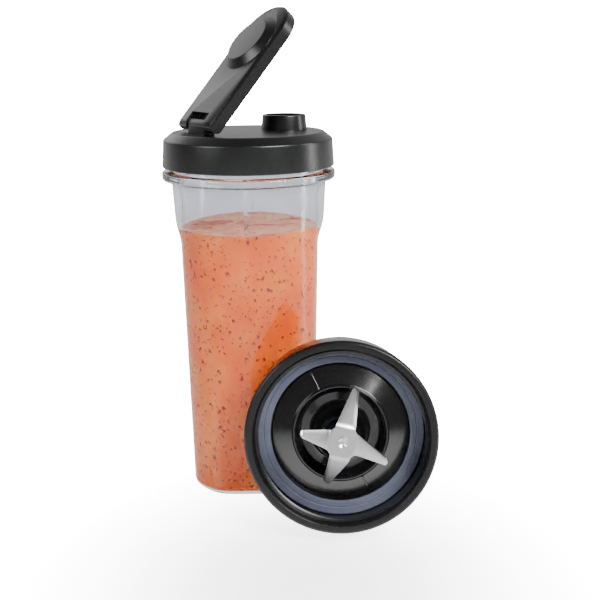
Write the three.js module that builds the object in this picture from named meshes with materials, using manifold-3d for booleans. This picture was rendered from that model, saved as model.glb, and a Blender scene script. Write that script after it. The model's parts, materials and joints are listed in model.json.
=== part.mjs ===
// A personal blending cup with its drink, a screw-on travel lid whose flip cap stands open, and the
// screw-on blade unit leaning against the cup. Millimetres, +Z up, origin at the centre of the cup's
// base on the table, -Y towards the front.
import * as THREE from 'three';
import { mergeVertices } from 'three/addons/utils/BufferGeometryUtils.js';
import Module from 'manifold-3d';

const wasm = await Module();
wasm.setup();

// ---- driving dimensions ----

const gap = 0.3; // left between separate pieces that touch on the real object

const cup = {
  flatAtBase: 34.0, // half width across the flats at the base
  flatAtTop: 36.9, // the same where the flats end
  cornerAtBase: 38.4, // radius at the rounded corners
  cornerAtTop: 39.3,
  flatsEnd: 137, // height where the flats start to run out
  neckLow: 150,
  neckHigh: 171,
  neckLowRadius: 40.1,
  neckHighRadius: 41.1,
  edge: 5, // round of the bottom edge
  wall: 2.4,
  neckWall: 3.3,
  floor: 2.6,
  flangeRadius: 46,
  flangeLow: 171.2,
  flangeHigh: 175.7,
  finishRadius: 40.4, // threaded mouth above the flange
  mouthRadius: 36.9,
  rim: 190.6,
  ribWidth: 1.8, // four upright ribs inside the neck, one above each flat
  ribDepth: 1.2,
};

const drink = { surface: 146.9 };

const thread = {
  lead: 7,
  rootWidth: 2.4,
  tipWidth: 1.2,
  cupTip: 42.2,
  capTip: 41.2, // inner thread on the lid and on the blade unit's collar
  play: 2.0, // between the centre lines of mating threads
};

const lid = {
  turn: 33, // degrees from +X to the line from hinge to spout
  deck: 195.7,
  deckRadius: 39.95,
  bevelRadius: 44.67,
  bevelLow: 192,
  skirtRadius: 45.6,
  skirtLow: 178,
  skirtInner: 42.8,
  deckThickness: 2.5,
};

const spout = { reach: 22.6, baseRadius: 12.35, topRadius: 11.6, bore: 9.7, height: 7.7, edge: 1.0 };

const hinge = {
  reach: 27.5, // from the lid's centre, away from the spout
  rise: 4.5, // axis above the deck
  barrelRadius: 3.2,
  barrelWidth: 17.6,
  plinthHalf: 3.0,
  holeRadius: 1.6,
  pinRadius: 1.53,
  cover: 1.4, // left over each end of the pin in the cap's ears
};

const cap = {
  open: 48, // degrees above the deck
  length: 76, // hinge axis to tip
  halfWidth: 18.3,
  earHalfWidth: 18.0,
  low: -3.1, // underside and outer face, from the hinge axis
  high: 4.1,
  chamfer: 1.3,
  wall: 1.7,
  notchHalfWidth: 9.2,
  notchReach: 5.0,
  bossReach: hinge.reach + spout.reach, // over the spout when the cap is shut
  bossBase: 17.0,
  bossTop: 13.0,
  bossHeight: 3.3,
  recessRadius: 12.2, // clears the spout's top when the cap is shut
  recessTop: 3.8,
  seatRadius: 10.2, // holds the plug's head
  plugRadius: 9.2,
  plugDepth: 3.6,
};

const unit = {
  lean: 12, // degrees, leaning back from upright
  backX: 46.5, // centre of the back, whose lower edge stands on the table
  backY: -43.1,
  height: 32,
  collarRadius: 48.2,
  backRadius: 47.1,
  inner: 42.8,
  mouth: 44.2,
  collarDepth: 15.3, // front edge to gasket
  gasketInner: 35.5,
  gasketThickness: 2.5,
  ledge: 2.5,
  ledgeInner: 34.5,
  lipRadius: 23.2,
  lipRise: 3.2, // well lip in front of the gasket's face
  hubTop: 37,
  bladePlane: 41,
};

const shaft = { radius: 3.0, bore: 3.07, housing: 5.6, bush: 5.52, bushLength: 5.5 };

const blade = {
  turn: 79, // degrees from level to the first wing
  thickness: 1.2,
  hub: 6.6, // half width of the square hub, whose corners are cut back to the wings' roots
  rootHalf: 5,
  tipWidth: 3.3,
  backWing: { length: 24, bend: -44 }, // swept back over the well's lip
  frontWing: { length: 19, bend: 40 },
};

const colour = {
  blackSatin: new THREE.MeshStandardMaterial({ color: 0x1b1b1c, roughness: 0.45 }),
  blackGloss: new THREE.MeshStandardMaterial({ color: 0x0c0c0e, roughness: 0.15 }),
  clear: new THREE.MeshStandardMaterial({
    color: 0xdfe4ec, roughness: 0.08, transparent: true, opacity: 0.3,
  }),
  orange: new THREE.MeshStandardMaterial({ color: 0xe58a4c, roughness: 0.5 }),
  gasket: new THREE.MeshStandardMaterial({ color: 0x6d7386, roughness: 0.6 }),
  steel: new THREE.MeshStandardMaterial({ color: 0xb9b9bb, roughness: 0.35, metalness: 1 }),
  bronze: new THREE.MeshStandardMaterial({ color: 0xa9823f, roughness: 0.45, metalness: 1 }),
  softBlack: new THREE.MeshStandardMaterial({ color: 0x202022, roughness: 0.8 }),
};

// ---- geometry helpers ----

const radians = THREE.MathUtils.degToRad;

// Turns any closed geometry into one with shared corners, no empty triangles and faces pointing out.
function closed(source) {
  const bare = source.index ? source.clone() : source;
  bare.deleteAttribute('normal');
  bare.deleteAttribute('uv');
  const merged = mergeVertices(bare, 1e-4);
  const place = merged.attributes.position;
  const index = merged.index.array;
  const corners = [];
  let volume = 0;
  const [a, b, c] = [new THREE.Vector3(), new THREE.Vector3(), new THREE.Vector3()];
  for (let i = 0; i < index.length; i += 3) {
    const [p, q, r] = [index[i], index[i + 1], index[i + 2]];
    if (p === q || q === r || r === p) continue;
    corners.push(p, q, r);
    volume += a.fromBufferAttribute(place, p)
      .dot(b.fromBufferAttribute(place, q).cross(c.fromBufferAttribute(place, r)));
  }
  if (volume < 0) corners.reverse();
  merged.setIndex(corners);
  return merged;
}

function solid(geometry) {
  const body = closed(geometry);
  return new wasm.Manifold(new wasm.Mesh({
    numProp: 3,
    vertProperties: new Float32Array(body.attributes.position.array),
    triVerts: new Uint32Array(body.index.array),
  }));
}

function shapeOf(body) {
  const mesh = body.getMesh();
  const geometry = new THREE.BufferGeometry();
  geometry.setAttribute('position', new THREE.BufferAttribute(mesh.vertProperties, 3));
  geometry.setIndex(Array.from(mesh.triVerts));
  return geometry;
}

// A profile of [radius, height] points turned about +Z.
function lathe(points, sides = 48) {
  const outline = points.map(([radius, height]) => new THREE.Vector2(radius, height));
  return closed(new THREE.LatheGeometry(outline, sides).rotateX(Math.PI / 2));
}

// A closed ring: the profile comes back to its first point.
function ring(points, sides = 48) {
  return lathe([...points, points[0]], sides);
}

function cylinder(radius, low, high, sides = 24, topRadius = radius) {
  return lathe([[0, low], [radius, low], [topRadius, high], [0, high]], sides);
}

function washer(inner, outer, low, high, sides = 40) {
  return ring([[inner, low], [outer, low], [outer, high], [inner, high]], sides);
}

function block(x0, x1, y0, y1, z0, z1) {
  const box = new THREE.BoxGeometry(x1 - x0, y1 - y0, z1 - z0);
  return box.translate((x0 + x1) / 2, (y0 + y1) / 2, (z0 + z1) / 2);
}

// Points of a quarter round from one angle to another, in degrees, on a [radius, height] profile.
function arc(centreRadius, centreHeight, radius, from, to, steps) {
  const points = [];
  for (let i = 0; i <= steps; i += 1) {
    const angle = radians(from + ((to - from) * i) / steps);
    points.push([centreRadius + radius * Math.cos(angle), centreHeight + radius * Math.sin(angle)]);
  }
  return points;
}

// A right-handed screw thread: a trapezium carried up a helix, from its root radius to its tip radius.
function helix(rootRadius, tipRadius, startAngle, startHeight, turns) {
  const steps = Math.round(turns * 24);
  const half = [thread.rootWidth / 2, thread.tipWidth / 2];
  const section = [
    [rootRadius, -half[0]], [tipRadius, -half[1]], [tipRadius, half[1]], [rootRadius, half[0]],
  ];
  const places = [];
  const corners = [];
  for (let i = 0; i <= steps; i += 1) {
    const angle = startAngle + (i / steps) * turns * 2 * Math.PI;
    const height = startHeight + (i / steps) * turns * thread.lead;
    for (const [radius, offset] of section) {
      places.push(radius * Math.cos(angle), radius * Math.sin(angle), height + offset);
    }
  }
  for (let i = 0; i < steps; i += 1) {
    for (let j = 0; j < 4; j += 1) {
      const [a, b] = [4 * i + j, 4 * i + ((j + 1) % 4)];
      corners.push(a, b, a + 4, b, b + 4, a + 4);
    }
  }
  const last = 4 * steps;
  corners.push(0, 2, 1, 0, 3, 2, last, last + 1, last + 2, last, last + 2, last + 3);
  const geometry = new THREE.BufferGeometry();
  geometry.setAttribute('position', new THREE.Float32BufferAttribute(places, 3));
  geometry.setIndex(corners);
  return geometry;
}

function mesh(name, geometry, material) {
  const piece = new THREE.Mesh(geometry, material);
  piece.name = name;
  geometry.computeVertexNormals();
  return piece;
}

// ---- cup and drink ----

// How far a rounded bottom edge draws the side in, at a height above the bottom.
function edgeInset(height, edge) {
  if (height >= edge) return 0;
  return edge - Math.sqrt(edge * edge - (edge - Math.max(height, 0)) ** 2);
}

function cornerRadius(z) {
  if (z <= cup.flatsEnd) {
    return THREE.MathUtils.mapLinear(z, 0, cup.flatsEnd, cup.cornerAtBase, cup.cornerAtTop);
  }
  if (z <= cup.neckLow) {
    const blend = THREE.MathUtils.smoothstep(z, cup.flatsEnd, cup.neckLow);
    return THREE.MathUtils.lerp(cup.cornerAtTop, cup.neckLowRadius, blend);
  }
  return THREE.MathUtils.mapLinear(z, cup.neckLow, cup.neckHigh, cup.neckLowRadius, cup.neckHighRadius);
}

// Distance from the axis to a flat. Above flatsEnd the flat curves out until it leaves the round neck.
function flatDistance(z) {
  const straight = THREE.MathUtils.mapLinear(z, 0, cup.flatsEnd, cup.flatAtBase, cup.flatAtTop);
  const past = Math.max(z - cup.flatsEnd, 0);
  return straight + 0.04 * past * past;
}

// Presses the four flats into a round body. The flats lie `inset` inside the cup's outer flats.
function pressFlats(geometry, bottom, inset, edge) {
  const place = geometry.attributes.position;
  const sharpness = 30;
  for (let i = 0; i < place.count; i += 1) {
    const [x, y, z] = [place.getX(i), place.getY(i), place.getZ(i)];
    const radius = Math.hypot(x, y);
    if (radius < 1 || z > cup.flangeLow - 1) continue;
    const fromFlat = Math.atan2(y, x) - (Math.round(Math.atan2(y, x) / (Math.PI / 2)) * Math.PI) / 2;
    const reach = (flatDistance(z) - inset - edgeInset(z - bottom, edge)) / Math.cos(fromFlat);
    const pressed = (radius ** -sharpness + reach ** -sharpness) ** (-1 / sharpness);
    place.setXY(i, (x * pressed) / radius, (y * pressed) / radius);
  }
  return geometry;
}

// Side points from the bottom edge up to `top`, `inset` inside the outer corners.
function sidePoints(bottom, top, inset, edge) {
  const heights = [0, 0.1, 0.4, 1].map((part) => bottom + part * edge);
  const upper = [70, 120, 134, 138, 141, 144, 147, 151].filter((z) => z < top - 1);
  return [...heights, ...upper, top].map((z) => [
    cornerRadius(z) - inset(z) - edgeInset(z - bottom, edge), z,
  ]);
}

function wallAt(z) {
  return THREE.MathUtils.lerp(cup.wall, cup.neckWall, THREE.MathUtils.smoothstep(z, 137, 160));
}

function cupBody() {
  const outer = pressFlats(lathe([
    [0, 0],
    ...sidePoints(0, cup.neckHigh, () => 0, cup.edge),
    [cup.flangeRadius - 1.2, cup.flangeLow],
    [cup.flangeRadius, cup.flangeLow + 1.2],
    [cup.flangeRadius, cup.flangeHigh - 1.0],
    [cup.flangeRadius - 1.0, cup.flangeHigh],
    [cup.finishRadius, cup.flangeHigh],
    [cup.finishRadius, cup.rim - 0.8],
    [cup.finishRadius - 0.8, cup.rim],
    [0, cup.rim],
  ]), 0, 0, cup.edge);
  const hollow = pressFlats(lathe([
    [0, cup.floor],
    ...sidePoints(cup.floor, cup.neckHigh - 4, wallAt, cup.edge - 1.5),
    [cup.mouthRadius, cup.neckHigh + 6],
    [cup.mouthRadius, cup.rim + 1],
    [0, cup.rim + 1],
  ]), cup.floor, cup.wall, cup.edge - 1.5);
  let body = solid(outer).subtract(solid(hollow));
  body = body.add(solid(helix(cup.finishRadius - 0.4, thread.cupTip, 0, cup.flangeHigh + 3.8, 1.1)));
  for (let i = 0; i < 4; i += 1) {
    const reach = cup.neckLowRadius - cup.neckWall;
    const side = cup.ribWidth / 2;
    const rib = block(reach - cup.ribDepth, reach + 1.4, -side, side, drink.surface + 1, cup.neckHigh);
    body = body.add(solid(rib.rotateZ((i * Math.PI) / 2)));
  }
  return mesh('cup_body', shapeOf(body), colour.clear);
}

function smoothie() {
  const inset = (z) => wallAt(z) + gap;
  const bottom = cup.floor + gap;
  const edge = cup.edge - 1.5;
  const body = pressFlats(lathe([
    [0, bottom],
    ...sidePoints(bottom, drink.surface, inset, edge),
    [0, drink.surface],
  ], 32), bottom, cup.wall + gap, edge);
  return mesh('smoothie', closed(body), colour.orange);
}

// ---- lid, in its own frame: +X runs from the hinge to the spout ----

function lidShell() {
  const under = lid.deck - lid.deckThickness;
  let body = solid(ring([
    [0, under],
    [lid.skirtInner, under],
    [lid.skirtInner, lid.skirtLow],
    [lid.skirtRadius - 0.5, lid.skirtLow],
    [lid.skirtRadius, lid.skirtLow + 0.6],
    [lid.bevelRadius, lid.bevelLow],
    [lid.deckRadius, lid.deck],
    [0, lid.deck],
  ]));
  const startTurn = 0.3;
  const startAngle = startTurn * 2 * Math.PI - radians(lid.turn);
  const startHeight = cup.flangeHigh + 3.8 - thread.play + startTurn * thread.lead;
  body = body.add(solid(helix(lid.skirtInner + 0.4, thread.capTip, startAngle, startHeight, 0.85)));
  const spoutTop = lid.deck + spout.height;
  const tube = lathe([
    [0, under + 0.5],
    [spout.baseRadius, under + 0.5],
    [spout.baseRadius, lid.deck],
    [spout.topRadius, spoutTop - spout.edge],
    [spout.topRadius - spout.edge * 0.3, spoutTop - spout.edge * 0.3],
    [spout.topRadius - spout.edge, spoutTop],
    [0, spoutTop],
  ], 32).translate(spout.reach, 0, 0);
  const bore = cylinder(spout.bore, under - 1, spoutTop + 1, 32).translate(spout.reach, 0, 0);
  body = body.add(solid(tube)).subtract(solid(bore));
  const half = hinge.barrelWidth / 2;
  const barrel = cylinder(hinge.barrelRadius, -half, half).rotateX(Math.PI / 2)
    .translate(-hinge.reach, 0, lid.deck + hinge.rise);
  const [near, far] = [-hinge.reach - hinge.plinthHalf, -hinge.reach + hinge.plinthHalf];
  const plinth = block(near, far, -half, half, lid.deck - 1, lid.deck + hinge.rise);
  const pinHole = cylinder(hinge.holeRadius, -half - 1, half + 1, 24).rotateX(Math.PI / 2)
    .translate(-hinge.reach, 0, lid.deck + hinge.rise);
  body = body.add(solid(barrel)).add(solid(plinth)).subtract(solid(pinHole));
  return mesh('lid_shell', shapeOf(body), colour.blackSatin);
}

function lidGasket() {
  const low = cup.rim + gap;
  const high = lid.deck - lid.deckThickness - gap;
  return mesh('lid_gasket', washer(cup.mouthRadius, lid.skirtInner - gap, low, high), colour.softBlack);
}

// ---- flip cap, in its own frame: origin on the hinge axis, +X to the tip, +Z out of the outer face ----

// Plan outline of the cap: straight sides from the hinge end and a round tip, drawn in by `inset`.
function capOutline(inset, start) {
  const centre = cap.length - cap.halfWidth;
  const outline = new THREE.Shape();
  outline.moveTo(start, -cap.earHalfWidth + inset);
  outline.lineTo(centre, -cap.halfWidth + inset);
  outline.absarc(centre, 0, cap.halfWidth - inset, -Math.PI / 2, Math.PI / 2, false);
  outline.lineTo(start, cap.earHalfWidth - inset);
  outline.closePath();
  return outline;
}

// A slab of the cap between two heights, smaller at the top by `taper`.
function capSlab(inset, start, low, high, taper = 0) {
  const slab = new THREE.ExtrudeGeometry(capOutline(inset, start), {
    depth: high - low, bevelEnabled: false, curveSegments: 10,
  }).translate(0, 0, low);
  const place = slab.attributes.position;
  const centre = cap.length - cap.halfWidth;
  for (let i = 0; i < place.count; i += 1) {
    if (place.getZ(i) < high - 1e-3) continue;
    const [x, y] = [place.getX(i), place.getY(i)];
    const scale = 1 - taper / (cap.halfWidth - inset);
    place.setXY(i, x > centre ? centre + (x - centre) * scale : x, y * scale);
  }
  return slab;
}

function flipCapShell() {
  const start = -(cap.high - cap.low) / 2;
  const chamferLow = cap.high - cap.chamfer;
  let body = solid(capSlab(0, start, cap.low, chamferLow))
    .add(solid(capSlab(0, start, chamferLow - 0.01, cap.high, cap.chamfer)));
  const ceiling = cap.high - cap.wall;
  const hollowStart = cap.notchReach + cap.wall;
  body = body.subtract(solid(capSlab(cap.wall, hollowStart, cap.low - 1, ceiling)));
  const boss = cylinder(cap.bossBase, cap.high - 1, cap.high + cap.bossHeight, 32, cap.bossTop)
    .translate(cap.bossReach, 0, 0);
  const bossTop = cap.high + cap.bossHeight;
  const recess = cylinder(cap.recessRadius, ceiling - 0.1, cap.recessTop, 32).translate(cap.bossReach, 0, 0);
  const plugSeat = cylinder(cap.seatRadius, ceiling, bossTop - 1.6, 32).translate(cap.bossReach, 0, 0);
  body = body.add(solid(boss)).subtract(solid(recess)).subtract(solid(plugSeat));
  const notch = block(start - 1, cap.notchReach, -cap.notchHalfWidth, cap.notchHalfWidth,
    cap.low - 1, cap.high + 1);
  body = body.subtract(solid(notch));
  const middle = (cap.low + cap.high) / 2;
  const wide = cap.earHalfWidth + 1;
  const roundEnd = cylinder(-start, -wide, wide, 24).rotateX(Math.PI / 2).translate(0, 0, middle);
  const rest = block(0, cap.length + 1, -wide - 2, wide + 2, cap.low - 1, bossTop + 1);
  const keep = solid(roundEnd).add(solid(rest));
  const blind = cap.earHalfWidth - hinge.cover;
  const pinHole = cylinder(hinge.holeRadius, -blind, blind).rotateX(Math.PI / 2);
  body = body.intersect(keep).subtract(solid(pinHole));
  return mesh('flip_cap_shell', shapeOf(body), colour.blackSatin);
}

function spoutPlug() {
  const ceiling = cap.high + cap.bossHeight - 1.6 - gap;
  const head = cap.recessTop + gap;
  const nose = spout.height - hinge.rise - cap.plugDepth;
  const body = ring([
    [0, nose + 1.4],
    [cap.plugRadius - 2.2, nose + 1.4],
    [cap.plugRadius - 1.6, nose],
    [cap.plugRadius - 0.5, nose],
    [cap.plugRadius, nose + 0.8],
    [cap.plugRadius, head],
    [cap.seatRadius - gap, head + 0.3],
    [cap.seatRadius - gap, ceiling],
    [0, ceiling],
  ], 24);
  return mesh('spout_plug', body.translate(cap.bossReach, 0, 0), colour.softBlack);
}

function hingePin() {
  const half = cap.earHalfWidth - hinge.cover - gap;
  const pin = cylinder(hinge.pinRadius, -half, half, 24).rotateX(Math.PI / 2);
  return mesh('hinge_pin', pin.translate(-hinge.reach, 0, lid.deck + hinge.rise), colour.steel);
}

// ---- blade unit, in its own frame: +Z from its back to the blades, +X level, +Y up ----

const gasketTop = unit.height - unit.collarDepth;
const seat = gasketTop - unit.gasketThickness; // the dish's rim, under the gasket
const rimThickness = 1.9;
const ledgeTop = seat - 2 * gap - rimThickness;
const wellFloor = seat - 3.2;
const dishWall = 2;
const hubLow = wellFloor - 4.4;
const coverLow = 1.9;
const coverTop = 3.9;
const screwReach = 29;
const screwAngles = [30, 150, 270];

function bladeCollar() {
  let body = solid(ring([
    [unit.backRadius - 2.4, 0],
    [unit.backRadius - 0.8, 0],
    [unit.backRadius, 0.8],
    [unit.collarRadius, unit.height - 4],
    [unit.collarRadius - 0.2, unit.height - 1.2],
    [unit.collarRadius - 1.3, unit.height],
    [unit.mouth, unit.height],
    [unit.inner, unit.height - 2],
    [unit.inner, ledgeTop],
    [unit.ledgeInner, ledgeTop],
    [unit.ledgeInner, ledgeTop - unit.ledge],
    [unit.backRadius - 2.4, ledgeTop - unit.ledge],
  ]));
  const turns = 0.85;
  const startHeight = unit.height - 3.6 - turns * thread.lead;
  body = body.add(solid(helix(unit.inner + 0.4, thread.capTip, 0, startHeight, turns)));
  return mesh('blade_collar', shapeOf(body), colour.blackSatin);
}

function bladeDish() {
  const lip = gasketTop + unit.lipRise;
  const rimLow = seat - gap - rimThickness;
  const rimHigh = seat - gap;
  let body = solid(ring([
    [shaft.housing, hubLow],
    [9, hubLow],
    [9, wellFloor - dishWall],
    [unit.lipRadius - 0.4, wellFloor - dishWall],
    [unit.lipRadius + 0.8, lip - 3.2],
    [unit.ledgeInner - gap, rimLow + 0.6],
    [unit.ledgeInner - gap, rimLow],
    [unit.inner - gap, rimLow],
    [unit.inner - gap, rimHigh],
    [unit.gasketInner - gap, rimHigh],
    [unit.gasketInner - gap, gasketTop - 0.6],
    [unit.gasketInner - 1.2, gasketTop - 0.2],
    [unit.lipRadius + 1.4, lip - 0.9],
    [unit.lipRadius + 0.8, lip],
    [unit.lipRadius, lip],
    [unit.lipRadius - 1.6, wellFloor + 1.6],
    [unit.lipRadius - 3.2, wellFloor],
    [15.5, wellFloor],
    [14.2, wellFloor + 1.2],
    ...arc(-22, wellFloor + 2, 36, 4, 34, 7),
    [7.2, unit.hubTop - 1.5],
    [6.6, unit.hubTop],
    [shaft.housing, unit.hubTop],
  ]));
  // Two radial ribs stand a little proud of the slope between the gasket and the lip.
  for (const angle of [116, 296]) {
    const rib = block(-4.4, 4.4, -0.5, 0.5, -1.2, 0.7).rotateY(radians(14.4))
      .translate((unit.lipRadius + unit.gasketInner) / 2, 0, gasketTop + 1.05);
    body = body.add(solid(rib.rotateZ(radians(angle))));
  }
  for (const angle of screwAngles) {
    const post = cylinder(3, coverTop + gap, gasketTop - 2.2, 12).translate(screwReach, 0, 0);
    const hole = cylinder(1.3, coverTop, coverTop + 7, 12).translate(screwReach, 0, 0);
    body = body.add(solid(post.rotateZ(radians(angle)))).subtract(solid(hole.rotateZ(radians(angle))));
  }
  return mesh('blade_dish', shapeOf(body), colour.blackGloss);
}

function cupGasket() {
  return mesh('cup_gasket', ring([
    [unit.gasketInner, seat],
    [unit.inner - gap, seat],
    [unit.inner - gap, gasketTop - 0.4],
    [unit.inner - gap - 0.4, gasketTop],
    [unit.gasketInner + 0.4, gasketTop],
    [unit.gasketInner, gasketTop - 0.4],
  ]), colour.gasket);
}

function baseCover() {
  let body = solid(washer(12, unit.backRadius - 2.4 - gap, coverLow, coverTop));
  for (const angle of screwAngles) {
    const hole = cylinder(1.5, coverLow - 1, coverTop + 1, 12).translate(screwReach, 0, 0);
    body = body.subtract(solid(hole.rotateZ(radians(angle))));
  }
  return mesh('base_cover', shapeOf(body), colour.blackSatin);
}

function baseScrew(number, angle) {
  const top = coverTop + 6;
  const screw = lathe([
    [0, 0.4], [2.3, 0.4], [2.6, 0.9], [2.6, 1.6], [1, 1.6], [1, top - 0.8], [0.3, top], [0, top],
  ], 12);
  const slot = block(-2, 2, -0.35, 0.35, 0, 1.0);
  const body = solid(screw).subtract(solid(slot));
  const placed = shapeOf(body).translate(screwReach, 0, 0).rotateZ(radians(angle));
  return mesh('base_screw_' + number, placed, colour.steel);
}

const lowerBush = hubLow + 0.6;
const upperBush = 28;
const shaftLow = 0.8;

function bush(name, low) {
  return mesh(name, washer(shaft.bore, shaft.bush, low, low + shaft.bushLength, 24), colour.bronze);
}

function runningGear() {
  const spacerLow = lowerBush + shaft.bushLength + gap;
  const sealLow = upperBush + shaft.bushLength + gap;
  const clipHeight = coverTop + gap;
  const bladeTop = unit.bladePlane + blade.thickness;
  const housing = shaft.housing - gap;
  const shaftBody = lathe([
    [0, shaftLow],
    [shaft.radius, shaftLow],
    [shaft.radius, clipHeight - 0.1],
    [2.4, clipHeight - 0.1],
    [2.4, clipHeight + 0.9],
    [shaft.radius, clipHeight + 0.9],
    [shaft.radius, unit.bladePlane - gap],
    [2.2, unit.bladePlane - gap],
    [2.2, bladeTop + gap],
    [2.9, bladeTop + gap],
    [2.7, bladeTop + 0.8],
    [2.4, bladeTop + 0.8],
    [0.8, bladeTop],
    [0, bladeTop],
  ], 24);
  return [
    bush('bearing_lower', lowerBush),
    bush('bearing_upper', upperBush),
    mesh('bearing_spacer', washer(4, housing, spacerLow, upperBush - gap, 24), colour.steel),
    mesh('shaft_seal', washer(3.35, housing, sealLow, unit.hubTop - 0.3, 24), colour.softBlack),
    mesh('blade_spacer', washer(3.3, 5.6, unit.hubTop + 0.6, unit.bladePlane - gap, 24), colour.steel),
    mesh('drive_shaft', shaftBody, colour.steel),
    retainingClip(clipHeight),
  ];
}

// A C-shaped clip in the shaft's groove.
function retainingClip(low) {
  const outline = new THREE.Shape();
  outline.absarc(0, 0, 4.6, radians(40), radians(320), false);
  outline.absarc(0, 0, 2.7, radians(320), radians(40), true);
  outline.closePath();
  const clip = new THREE.ExtrudeGeometry(outline, { depth: 0.7, bevelEnabled: false, curveSegments: 10 });
  return mesh('retaining_clip', closed(clip.translate(0, 0, low)), colour.steel);
}

// Six-toothed coupling under the shaft's end, which the motor base's own coupling drives.
function driveCoupling() {
  let body = solid(cylinder(6.4, 0.3, coverTop, 24));
  for (let i = 0; i < 6; i += 1) {
    const tooth = block(5, 9.6, -1.5, 1.5, 0.3, coverTop - 0.4).rotateZ((i * Math.PI) / 3);
    body = body.add(solid(tooth));
  }
  const bore = cylinder(shaft.radius + gap, -1, coverTop + 1, 24);
  return mesh('drive_coupling', shapeOf(body.subtract(solid(bore))), colour.blackSatin);
}

// One wing: a flat plate with its straight cutting edge on one side, bent at the hub's edge.
function wing(turn, { length, bend }) {
  const outline = new THREE.Shape();
  outline.moveTo(-1, -blade.rootHalf);
  outline.lineTo(length - 1.2, -blade.rootHalf + 0.3);
  outline.lineTo(length, -blade.rootHalf + 1.5);
  outline.lineTo(length - 0.7, -blade.rootHalf + 0.3 + blade.tipWidth);
  outline.lineTo(0, blade.rootHalf);
  outline.lineTo(-1, blade.rootHalf);
  outline.closePath();
  return new THREE.ExtrudeGeometry(outline, { depth: blade.thickness, bevelEnabled: false })
    .rotateY(-radians(bend)).translate(blade.hub, 0, 0).rotateZ(radians(turn));
}

function bladeCross() {
  const outline = new THREE.Shape();
  for (let i = 0; i < 4; i += 1) {
    for (const across of [-blade.rootHalf, blade.rootHalf]) {
      const corner = new THREE.Vector2(blade.hub, across)
        .rotateAround(new THREE.Vector2(), (i * Math.PI) / 2);
      if (i === 0 && across < 0) outline.moveTo(corner.x, corner.y);
      else outline.lineTo(corner.x, corner.y);
    }
  }
  outline.closePath();
  let body = solid(new THREE.ExtrudeGeometry(outline, { depth: blade.thickness, bevelEnabled: false })
    .rotateZ(radians(blade.turn)));
  for (let i = 0; i < 4; i += 1) {
    body = body.add(solid(wing(blade.turn + 90 * i, i % 2 ? blade.frontWing : blade.backWing)));
  }
  body = body.subtract(solid(cylinder(2.5, -1, blade.thickness + 1, 24)));
  return mesh('blade_cross', shapeOf(body.translate(0, 0, unit.bladePlane)), colour.steel);
}

// ---- assembly ----

function lidAssembly() {
  const turned = new THREE.Group();
  turned.rotation.z = radians(lid.turn);
  const openCap = new THREE.Group();
  openCap.position.set(-hinge.reach, 0, lid.deck + hinge.rise);
  openCap.rotation.y = -radians(cap.open);
  openCap.add(flipCapShell(), spoutPlug());
  turned.add(lidShell(), lidGasket(), hingePin(), openCap);
  return turned;
}

function bladeUnit() {
  const lean = radians(unit.lean);
  const facing = new THREE.Vector3(0, -Math.cos(lean), Math.sin(lean));
  const level = new THREE.Vector3(1, 0, 0);
  const up = facing.clone().cross(level);
  const placed = new THREE.Group();
  placed.quaternion.setFromRotationMatrix(new THREE.Matrix4().makeBasis(level, up, facing));
  // The unit stands on the lower edge of its back, and the back's upper edge leans on the cup.
  placed.position.set(unit.backX, unit.backY, unit.backRadius * Math.cos(lean));
  placed.add(bladeCollar(), bladeDish(), cupGasket(), baseCover());
  placed.add(...runningGear(), driveCoupling(), bladeCross());
  screwAngles.forEach((angle, i) => placed.add(baseScrew(i + 1, angle)));
  return placed;
}

const group = new THREE.Group();
group.add(cupBody(), smoothie(), lidAssembly(), bladeUnit());

export default group;
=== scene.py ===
"""A blending cup with a drink, its open travel lid, and the loose blade unit leaning against it."""
import json
from math import atan2, ceil, cos, hypot, pi, radians, sin, sqrt

import bmesh
import bpy
from mathutils import Matrix, Vector, noise


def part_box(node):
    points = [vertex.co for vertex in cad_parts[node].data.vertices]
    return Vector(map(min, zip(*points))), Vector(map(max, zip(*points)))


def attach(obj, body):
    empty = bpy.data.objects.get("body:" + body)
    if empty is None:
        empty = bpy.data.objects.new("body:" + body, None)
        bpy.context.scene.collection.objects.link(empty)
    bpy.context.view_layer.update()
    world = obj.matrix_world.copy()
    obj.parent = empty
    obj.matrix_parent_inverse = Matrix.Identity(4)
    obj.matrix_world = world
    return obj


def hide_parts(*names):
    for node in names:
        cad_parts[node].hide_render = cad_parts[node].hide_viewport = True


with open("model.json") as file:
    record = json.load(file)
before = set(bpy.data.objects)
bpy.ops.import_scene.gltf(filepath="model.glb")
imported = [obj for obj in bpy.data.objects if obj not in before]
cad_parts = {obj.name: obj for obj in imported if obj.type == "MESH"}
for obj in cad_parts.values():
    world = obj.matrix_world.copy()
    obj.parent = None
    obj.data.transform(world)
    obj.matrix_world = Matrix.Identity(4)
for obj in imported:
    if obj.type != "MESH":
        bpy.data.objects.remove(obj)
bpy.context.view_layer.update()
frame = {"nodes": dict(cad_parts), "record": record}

MM = 0.001
SIDES = 160  # round a turned body
SHARP = 32  # degrees: the least bend that shows as an edge on the mouldings

# ---- places and sizes, in millimetres: places come from the frame, and sizes repeat the CAD's ----

JOINTS = {joint["name"]: joint for joint in frame["record"]["behaviour"]["joints"]}


def top(node):
    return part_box(node)[1].z / MM


def outer_radius(node):
    low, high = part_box(node)
    return (high.x - low.x) / 2 / MM


HINGE = Vector(JOINTS["flip_cap_hinge"]["pos_m"]) / MM
HINGE_AXIS = Vector(JOINTS["flip_cap_hinge"]["axis"])
LID_TURN = atan2(-HINGE.y, -HINGE.x)
CAP_OPEN = radians(48)
HINGE_RISE = 4.5  # of the hinge's axis, above the lid's deck
PIN_HOLE = 1.6
DECK = HINGE.z - HINGE_RISE

BLADE_AXIS = Vector(JOINTS["blade_spin"]["axis"]).normalized()
BLADE_PIVOT = Vector(JOINTS["blade_spin"]["pos_m"]) / MM
PIVOT_HEIGHT = 41.6  # of the blade pivot, above the back of the blade unit

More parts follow.
